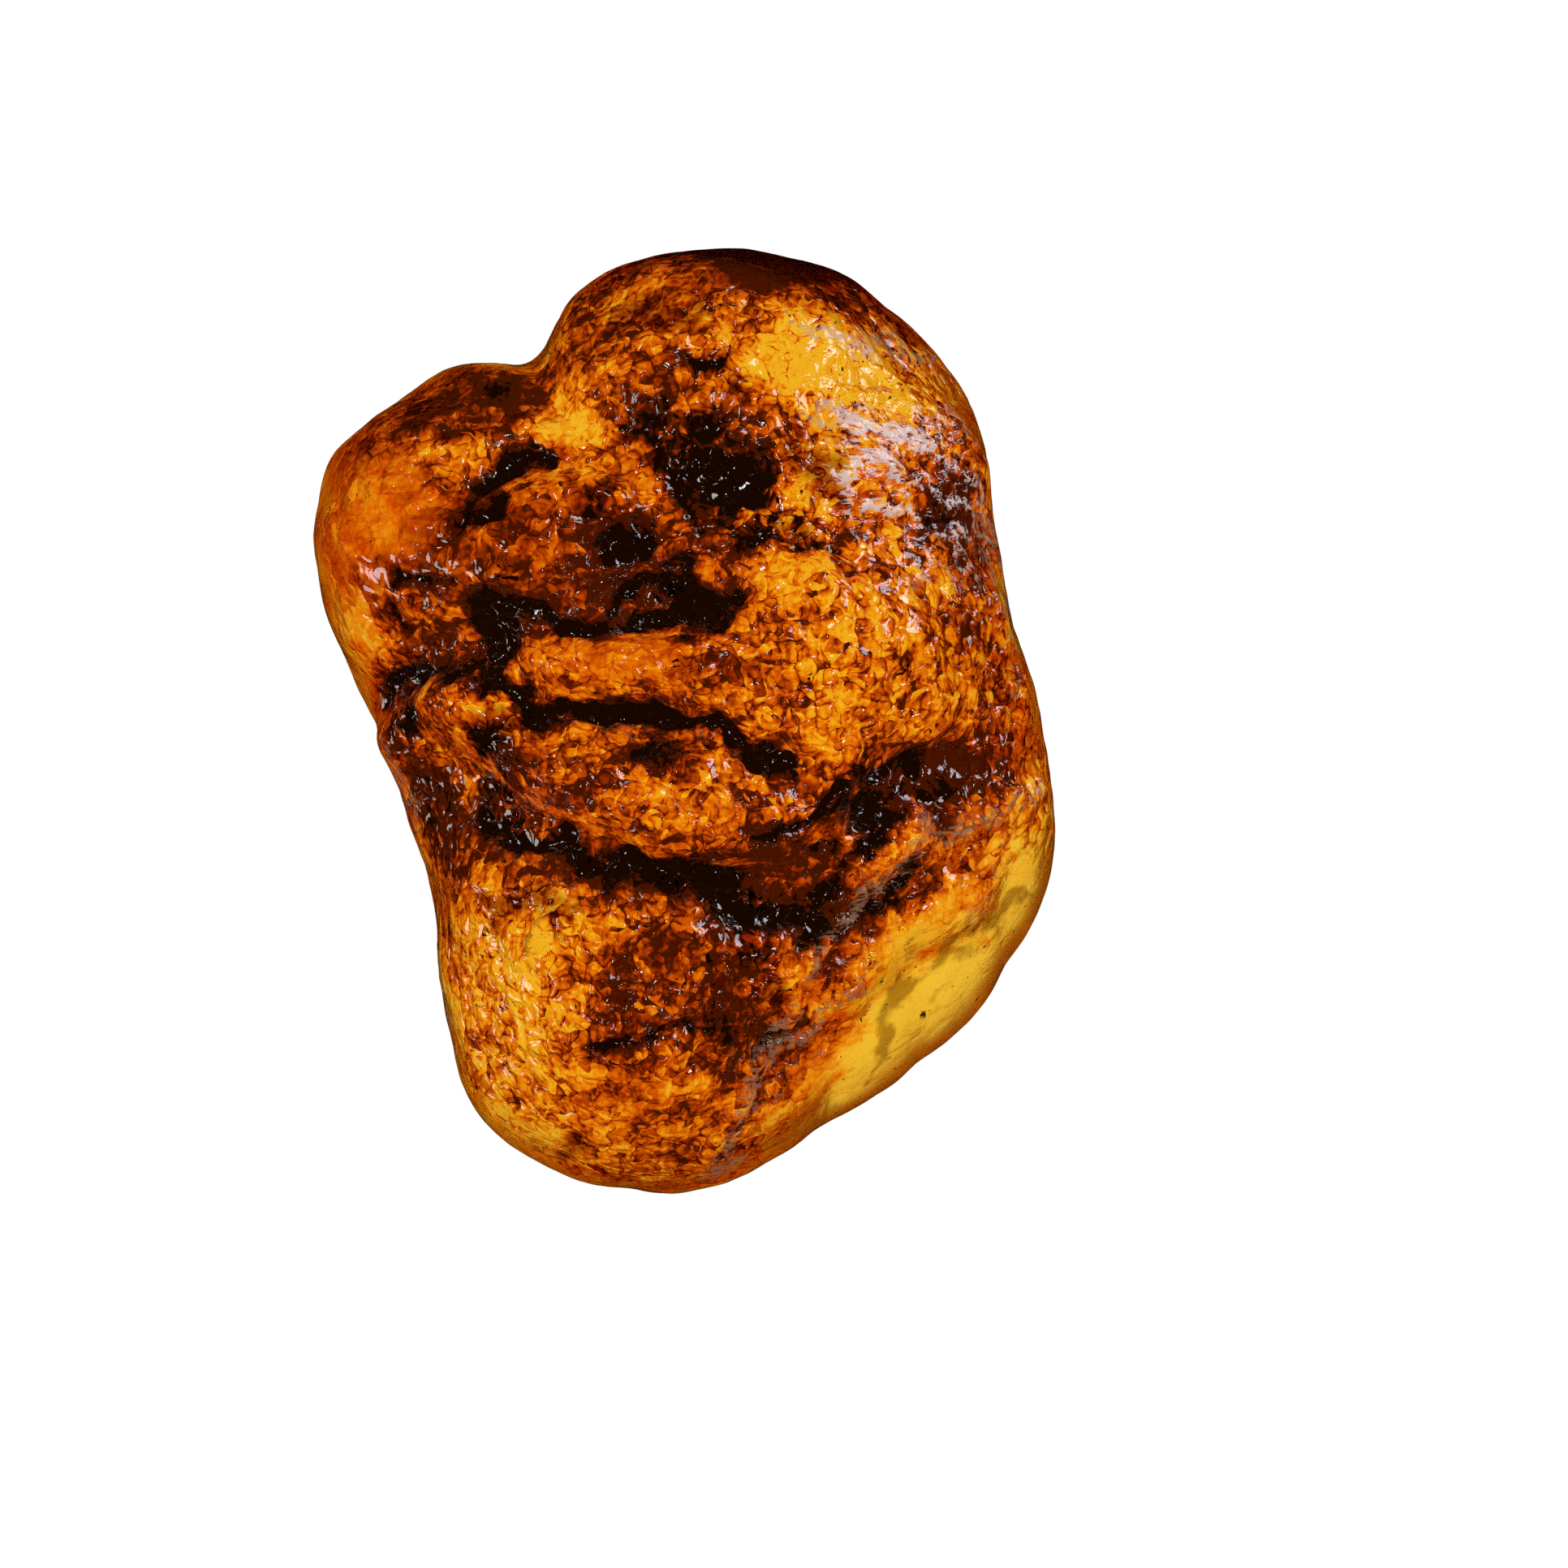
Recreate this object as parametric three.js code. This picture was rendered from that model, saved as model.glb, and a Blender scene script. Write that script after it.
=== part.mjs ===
// A raw amber nugget: one lump of fossil resin, as found and rinsed, lying on the flattest side it has.
// Its face, up, is a set of swollen lobes parted by furrows. A thin bevel runs down to the lower right edge.
// X is the width, Y the length and Z the thickness, in millimetres. The origin is on the resting flat,
// under the middle of the outline.

import * as THREE from "three";
import { mergeVertices } from "three/addons/utils/BufferGeometryUtils.js";

// Driving dimensions.
const LENGTH = 50; // tip to tip, along Y
const WIDTH = 39; // across the widest part, along X
const THICKNESS = 24; // from the resting flat to the crown of the face
const GIRDLE_HEIGHT = 8.2; // the widest section's height above the resting flat
const BELLY_DEPTH = 10.5; // how far the back would bulge below the girdle without the flat
const EDGE_SHARPNESS = 11; // exponent of the rounded meeting of the facets: higher is crisper
const MESH_DETAIL = 18; // each icosahedron edge is cut into this many plus one
const FACE_BIAS = 0.35; // how far the mesh points are drawn up towards the furrowed face

// The outline seen from above, anticlockwise from the right, as a closed curve through these points.
const OUTLINE = [
  [18.6, 0], [16.8, 6.5], [16.1, 11], [15.9, 14.5], [14.5, 17.6], [11.6, 20.9], [7.5, 23.7], [2, 25],
  [-3.6, 23.8], [-6.3, 21.9], [-8.3, 19.1], [-12.2, 18.8], [-16.6, 16], [-19, 13], [-19.5, 9.5],
  [-18.6, 4.5], [-16.6, 0], [-14.7, -5], [-13.5, -9.5], [-12.9, -15.5], [-11.3, -20], [-7, -23.5],
  [-2, -24.8], [0.6, -24.9], [4, -23.2], [9.6, -19.9], [14.6, -16.2], [17.9, -11.4], [19.4, -6.5],
];

// Broad facets that the lump is rounded off from: the way each one faces, and its distance from the middle.
const FACETS = [
  { name: "crown, left side", normal: [-0.26, 0.02, 0.96], distance: 15.4 },
  { name: "crown, top side", normal: [0.1, 0.3, 0.95], distance: 16.8 },
  { name: "crown, lower side", normal: [0.1, -0.27, 0.96], distance: 16 },
  { name: "crown, lower right side", normal: [0.3, -0.22, 0.93], distance: 15.8 },
  { name: "thin bevel, lower right", normal: [0.587, -0.453, 0.669], distance: 16.3 },
  { name: "right shoulder", normal: [0.72, 0.2, 0.66], distance: 16 },
  { name: "top end", normal: [0.1, 0.8, 0.6], distance: 22.8 },
  { name: "upper left shoulder", normal: [-0.53, 0.47, 0.707], distance: 18.6 },
  { name: "left shoulder", normal: [-0.76, -0.2, 0.62], distance: 15.6 },
  { name: "lower end", normal: [-0.13, -0.75, 0.65], distance: 20.4 },
  { name: "belly, right side", normal: [0.2, 0.05, -0.978], distance: 9.4 },
  { name: "belly, left side", normal: [-0.22, 0.05, -0.974], distance: 9.3 },
  { name: "belly, top side", normal: [0.02, 0.2, -0.98], distance: 9.6 },
  { name: "belly, lower side", normal: [-0.03, -0.22, -0.975], distance: 9.5 },
  { name: "back, lower right", normal: [0.2, -0.155, -0.968], distance: 9.9 },
  { name: "back, right", normal: [0.75, 0.2, -0.63], distance: 15.8 },
  { name: "back, top end", normal: [0.05, 0.7, -0.71], distance: 19.6 },
  { name: "back, left", normal: [-0.72, 0.2, -0.66], distance: 16 },
  { name: "back, lower end", normal: [-0.2, -0.7, -0.68], distance: 19.2 },
];

// Swellings: where each is centred, how far it reaches along X and Y, and how high it stands.
const FACE_LOBES = [
  { name: "upper left lobe", at: [-14, 11], reach: [4.5, 5], height: 1.3 },
  { name: "red lobe", at: [-7.2, 9], reach: [3.6, 2.8], height: 1.2 },
  { name: "top lobe", at: [2, 19.5], reach: [6.5, 4.5], height: 1.3 },
  { name: "right shoulder lobe", at: [9.5, 13.5], reach: [4.5, 5], height: 1.1 },
  { name: "middle lobe", at: [9.5, 3.8], reach: [5.5, 3.6], height: 1.5 },
  { name: "bar between the furrows", at: [-1.5, 2.8], reach: [5, 1.6], height: 1 },
  { name: "lower bar", at: [-1.5, -4.2], reach: [6, 2.2], height: 1.2 },
  { name: "knob at the left", at: [-12, 1.4], reach: [1.8, 1.7], height: 0.8 },
  { name: "lower lobe", at: [-4.8, -15.5], reach: [5.5, 6], height: 1.7 },
  { name: "ridge along the bevel", at: [8, -12], reach: [2.2, 2.6], height: 0.6 },
];
const BACK_LOBES = [
  { name: "back, upper swelling", at: [-5, 12], reach: [6, 5], height: 1.2 },
  { name: "back, right swelling", at: [12, 3], reach: [4, 6], height: 1.1 },
  { name: "back, lower swelling", at: [-3, -15.5], reach: [6, 5], height: 1.3 },
];

// Furrows: the line each follows, its half width and its depth.
const FACE_FURROWS = [
  { name: "notch furrow", halfWidth: 1.6, depth: 1.3, line: [[-8.6, 20], [-6.4, 16.6], [-3.6, 14]] },
  {
    name: "upper left furrow", halfWidth: 1.5, depth: 1,
    line: [[-11.4, 11.2], [-8.6, 13], [-3.2, 13.4], [-1, 10.8]],
  },
  {
    name: "upper cross furrow", halfWidth: 1.6, depth: 1.7,
    line: [[-17, 1], [-13.5, 3.3], [-10.5, 4.2], [-6.2, 4.9], [-2.8, 5.3], [0.4, 5.8], [2.6, 7.4]],
  },
  {
    name: "middle cross furrow", halfWidth: 1.4, depth: 1.8,
    line: [[-10.5, 4], [-8.8, 1.7], [-6.2, 0.3], [-0.7, -0.4], [2, -1], [5.6, -2.6]],
  },
  {
    name: "lower cross furrow", halfWidth: 1.9, depth: 1.9,
    line: [[-13, -2.6], [-10.5, -4.7], [-5, -6.7], [1, -8.6], [6.2, -9.9]],
  },
  {
    name: "right furrow", halfWidth: 1.6, depth: 1.4,
    line: [[6.2, -9.9], [7.9, -6.5], [11, -3], [13.6, -2.2]],
  },
  { name: "bevel furrow", halfWidth: 1.4, depth: 0.9, line: [[4, -17], [7.4, -11.6], [9.6, -9.4], [13, -7]] },
  {
    name: "bevel step", halfWidth: 1.3, depth: 0.6,
    line: [[19.4, -9.2], [16.4, -10.9], [12, -13.4], [9, -15.6]],
  },
  { name: "shoulder crease", halfWidth: 1.5, depth: 0.8, line: [[2.6, 7.4], [5, 8.5], [10.5, 9.4]] },
];
const BACK_FURROWS = [
  { name: "back, cross furrow", halfWidth: 2, depth: 0.9, line: [[-13, 8], [-7, 9], [0, 12.5], [6, 13]] },
  { name: "back, right furrow", halfWidth: 2, depth: 0.8, line: [[13, 6], [11.5, 0], [13, -5]] },
  { name: "back, lower furrow", halfWidth: 2, depth: 0.9, line: [[-11, -10], [-3, -11.5], [5, -14.5]] },
];

// Pits with a rough floor, where the rind was charred and crumbled out.
const FACE_PITS = [
  { name: "upper pit", at: [1.6, 12.6], reach: [3, 2.2], height: -1.2 },
  { name: "upper left pit", at: [-3.5, 8.9], reach: [1.9, 1.7], height: -0.6 },
  { name: "left pit", at: [-10.4, -1.8], reach: [1.7, 1.6], height: -0.6 },
  { name: "lower pit", at: [3.4, -9.2], reach: [2.8, 1.8], height: -0.8 },
];

const smoothstep = THREE.MathUtils.smoothstep;

// The outline as a function of the angle round the middle, in radians.
function makeOutlineRadius() {
  const corners = OUTLINE.map(([x, y]) => new THREE.Vector3(x, y, 0));
  const samples = new THREE.CatmullRomCurve3(corners, true, "centripetal").getPoints(720);
  const polar = samples.slice(0, -1).map((p) => {
    return { angle: Math.atan2(p.y, p.x), radius: Math.hypot(p.x, p.y) };
  });
  polar.sort((a, b) => a.angle - b.angle);
  polar.push({ angle: polar[0].angle + 2 * Math.PI, radius: polar[0].radius });
  return (angle) => {
    const turned = angle < polar[0].angle ? angle + 2 * Math.PI : angle;
    const after = polar.findIndex((p) => p.angle >= turned);
    if (after <= 0) return polar[0].radius;
    const [a, b] = [polar[after - 1], polar[after]];
    return THREE.MathUtils.lerp(a.radius, b.radius, (turned - a.angle) / (b.angle - a.angle));
  };
}

const outlineRadius = makeOutlineRadius();
const facets = FACETS.map(({ normal, distance }) => {
  return { normal: new THREE.Vector3(...normal).normalize(), distance };
});

// How far the rounded, unfurrowed lump reaches from its middle in a direction.
function lumpRadius(direction) {
  const level = Math.hypot(direction.x, direction.y);
  const angle = Math.atan2(direction.y, direction.x);
  const halfThickness = direction.z > 0 ? THICKNESS - GIRDLE_HEIGHT : BELLY_DEPTH;
  let sum = (level / outlineRadius(angle)) ** EDGE_SHARPNESS;
  sum += (Math.abs(direction.z) / halfThickness) ** EDGE_SHARPNESS;
  for (const { normal, distance } of facets) {
    sum += (Math.max(0, normal.dot(direction)) / distance) ** EDGE_SHARPNESS;
  }
  return sum ** (-1 / EDGE_SHARPNESS);
}

// The shortest distance from a point to a line of straight runs, seen from above.
function distanceToLine(x, y, line) {
  let nearest = Infinity;
  for (let i = 1; i < line.length; i += 1) {
    const [[ax, ay], [bx, by]] = [line[i - 1], line[i]];
    const [dx, dy] = [bx - ax, by - ay];
    const along = THREE.MathUtils.clamp(((x - ax) * dx + (y - ay) * dy) / (dx * dx + dy * dy), 0, 1);
    nearest = Math.min(nearest, Math.hypot(x - ax - along * dx, y - ay - along * dy));
  }
  return nearest;
}

function swelling(x, y, { at, reach, height }) {
  const spread = ((x - at[0]) / reach[0]) ** 2 + ((y - at[1]) / reach[1]) ** 2;
  return height * Math.exp(-spread);
}

function furrowing(x, y, { line, halfWidth, depth }) {
  const share = distanceToLine(x, y, line) / halfWidth;
  return depth * Math.exp(-share * share);
}

// Relief of one side, in millimetres outwards, at a place seen from above. Swellings add up, but where
// furrows meet they are hardly deeper than the deepest of them.
function relief(x, y, bumps, furrows) {
  let height = 0;
  for (const bump of bumps) height += swelling(x, y, bump);
  let cubes = 0;
  for (const furrow of furrows) cubes += furrowing(x, y, furrow) ** 3;
  return height - Math.cbrt(cubes);
}

// Gentle unevenness, so that no facet is quite flat. Its waves are 6 to 14 mm long.
function unevenness(p) {
  const broad = Math.sin(0.45 * p.x + 0.3 * p.y) * Math.sin(0.5 * p.y - 0.4 * p.z + 1);
  const fine = Math.sin(1.05 * p.x - 0.7 * p.z + 2) * Math.sin(0.95 * p.y + 0.6 * p.x);
  return 0.35 * broad + 0.16 * fine;
}

const FACE_BUMPS = [...FACE_LOBES, ...FACE_PITS];

function surfacePoint(direction) {
  const point = direction.clone().multiplyScalar(lumpRadius(direction));
  const faceShare = smoothstep(direction.z, -0.12, 0.3);
  const backShare = smoothstep(-direction.z, 0.05, 0.4);
  const face = faceShare * relief(point.x, point.y, FACE_BUMPS, FACE_FURROWS);
  const back = backShare * relief(point.x, point.y, BACK_LOBES, BACK_FURROWS);
  return point.addScaledVector(direction, face + back + unevenness(point));
}

// Stretches the plan a little, angle by angle, until its silhouette is the outline again.
function fitToOutline(points) {
  const bins = 60;
  const widest = new Array(bins).fill(0);
  const binOf = (angle) => (((angle / (2 * Math.PI)) * bins) % bins + bins) % bins;
  for (const p of points) {
    const bin = Math.floor(binOf(Math.atan2(p.y, p.x)));
    const share = Math.hypot(p.x, p.y) / outlineRadius(Math.atan2(p.y, p.x));
    widest[bin] = Math.max(widest[bin], share);
  }
  for (const p of points) {
    const place = binOf(Math.atan2(p.y, p.x)) - 0.5 + bins;
    const [low, part] = [Math.floor(place), place - Math.floor(place)];
    const share = THREE.MathUtils.lerp(widest[low % bins], widest[(low + 1) % bins], part);
    p.x /= share;
    p.y /= share;
  }
}

function makeNugget() {
  const sphere = new THREE.IcosahedronGeometry(1, MESH_DETAIL);
  sphere.deleteAttribute("normal");
  sphere.deleteAttribute("uv");
  const geometry = mergeVertices(sphere, 1e-5);
  const position = geometry.getAttribute("position");
  const points = [];
  for (let i = 0; i < position.count; i += 1) {
    const direction = new THREE.Vector3().fromBufferAttribute(position, i);
    direction.z += FACE_BIAS;
    points.push(surfacePoint(direction.normalize()));
  }
  fitToOutline(points);
  const box = new THREE.Box3().setFromPoints(points);
  const middle = box.getCenter(new THREE.Vector3());
  const size = box.getSize(new THREE.Vector3());
  const crownHeight = THICKNESS - GIRDLE_HEIGHT;
  points.forEach((p, i) => {
    const x = (p.x - middle.x) * (WIDTH / size.x);
    const y = (p.y - middle.y) * (LENGTH / size.y);
    const raised = p.z > 0 ? p.z * (crownHeight / box.max.z) : p.z;
    position.setXYZ(i, x, y, Math.max(0, raised + GIRDLE_HEIGHT));
  });
  geometry.computeVertexNormals();
  return geometry;
}

const amber = new THREE.MeshStandardMaterial({ color: 0xc8720f, roughness: 0.12, metalness: 0 });
const nugget = new THREE.Mesh(makeNugget(), amber);
nugget.name = "amber_nugget";

const part = new THREE.Group();
part.add(nugget);

export default part;
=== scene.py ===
# A raw amber nugget lying on its back on a plain pale table that glows softly from below
import bpy
import math
import random
import numpy as np
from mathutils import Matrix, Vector, noise
from mathutils.bvhtree import BVHTree


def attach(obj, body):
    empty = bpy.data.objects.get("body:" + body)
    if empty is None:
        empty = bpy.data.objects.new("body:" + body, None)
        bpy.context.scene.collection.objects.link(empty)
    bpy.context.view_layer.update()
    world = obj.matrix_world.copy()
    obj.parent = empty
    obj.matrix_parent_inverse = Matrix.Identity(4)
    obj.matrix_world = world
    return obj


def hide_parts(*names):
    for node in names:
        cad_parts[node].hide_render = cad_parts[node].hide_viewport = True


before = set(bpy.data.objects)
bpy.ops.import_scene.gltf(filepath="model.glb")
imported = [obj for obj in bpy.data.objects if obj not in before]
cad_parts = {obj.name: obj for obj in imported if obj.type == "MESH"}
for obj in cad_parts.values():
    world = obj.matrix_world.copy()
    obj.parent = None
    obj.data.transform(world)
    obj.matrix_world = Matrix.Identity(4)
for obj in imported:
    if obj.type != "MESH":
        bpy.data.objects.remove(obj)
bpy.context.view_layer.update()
mm = 0.001


# small helpers for the modelling steps

def clearSelection():
    if bpy.context.mode != "OBJECT":
        bpy.ops.object.mode_set(mode="OBJECT")
    bpy.ops.object.select_all(action="DESELECT")


def pick(piece):
    clearSelection()
    piece.select_set(True)
    bpy.context.view_layer.objects.active = piece


def applyModifier(piece, kind, name, **settings):
    pick(piece)
    bpy.ops.object.modifier_add(type=kind)
    modifier = piece.modifiers[-1]
    modifier.name = name
    for key, value in settings.items():
        setattr(modifier, key, value)
    bpy.ops.object.modifier_apply(modifier=name)


def readPoints(piece):
    co = np.zeros(len(piece.data.vertices) * 3)
    piece.data.vertices.foreach_get("co", co)
    return co.reshape(-1, 3) / mm


def readNormals(piece):
    normals = np.zeros(len(piece.data.vertices) * 3)
    piece.data.vertices.foreach_get("normal", normals)
    return normals.reshape(-1, 3)


def writePoints(piece, points):
    piece.data.vertices.foreach_set("co", (points * mm).ravel())
    piece.data.update()


def addGroup(piece, name, weights):
    group = piece.vertex_groups.new(name=name)
    steps = np.round(np.clip(weights, 0, 1) * 200).astype(int)
    for step in np.unique(steps):
        if step:
            group.add(np.nonzero(steps == step)[0].tolist(), step / 200, "REPLACE")


def smooth(value, low, high):
    share = np.clip((value - low) / (high - low), 0, 1)
    return share * share * (3 - 2 * share)


# shader nodes: sums written as plain expressions

class Num:
    def __init__(self, graph, socket):
        self.graph = graph
        self.socket = socket

    def sum(self, operation, first, second):
        made = self.graph.node("ShaderNodeMath", {"operation": operation}, {0: first, 1: second})
        return Num(self.graph, made.outputs[0])

    def __add__(self, other): return self.sum("ADD", self, other)
    def __radd__(self, other): return self.sum("ADD", other, self)
    def __sub__(self, other): return self.sum("SUBTRACT", self, other)
    def __rsub__(self, other): return self.sum("SUBTRACT", other, self)
    def __mul__(self, other): return self.sum("MULTIPLY", self, other)
    def __rmul__(self, other): return self.sum("MULTIPLY", other, self)
    def __abs__(self): return self.sum("ABSOLUTE", self, 0.0)
    def highest(self, other): return self.sum("MAXIMUM", self, other)

    def between(self, low, high, start=0.0, end=1.0):
        made = self.graph.node("ShaderNodeMapRange", {"interpolation_type": "SMOOTHSTEP"},
                               {"Value": self, "From Min": low, "From Max": high,
                                "To Min": start, "To Max": end})
        return Num(self.graph, made.outputs[0])


class Graph:
    def __init__(self, name):
        self.material = bpy.data.materials.new(name)
        self.material.use_nodes = True
        self.tree = self.material.node_tree
        self.tree.nodes.clear()
        self.place = 0

    def node(self, kind, settings=None, sockets=None):
        made = self.tree.nodes.new(kind)
        made.location = (self.place % 12 * 200, -(self.place // 12) * 260)
        self.place += 1
        for key, value in (settings or {}).items():
            if key == "stops":
                self.setStops(made.color_ramp, value)
            else:
                setattr(made, key, value)
        for key, value in (sockets or {}).items():
            target = made.inputs[key]
            if isinstance(value, Num):
                value = value.socket
            if isinstance(value, bpy.types.NodeSocket):
                self.tree.links.new(value, target)
            else:
                target.default_value = value
        return made

    def setStops(self, ramp, stops):
        while len(ramp.elements) < len(stops):
            ramp.elements.new(1.0)
        for element, (position, colour) in zip(ramp.elements, stops):
            element.position = position
            element.color = (*colour, 1.0)

    def num(self, kind, settings, sockets, output=0):
        return Num(self, self.node(kind, settings, sockets).outputs[output])

    def blend(self, share, first, second, way="MIX"):
        made = self.node("ShaderNodeMix", {"data_type": "RGBA", "blend_type": way},
                         {0: share, 6: asColour(first), 7: asColour(second)})
        return made.outputs[2]


def asColour(value):
    return (*value, 1.0) if isinstance(value, tuple) and len(value) == 3 else value


# the stone: the solid's shape, refined and weathered

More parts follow.
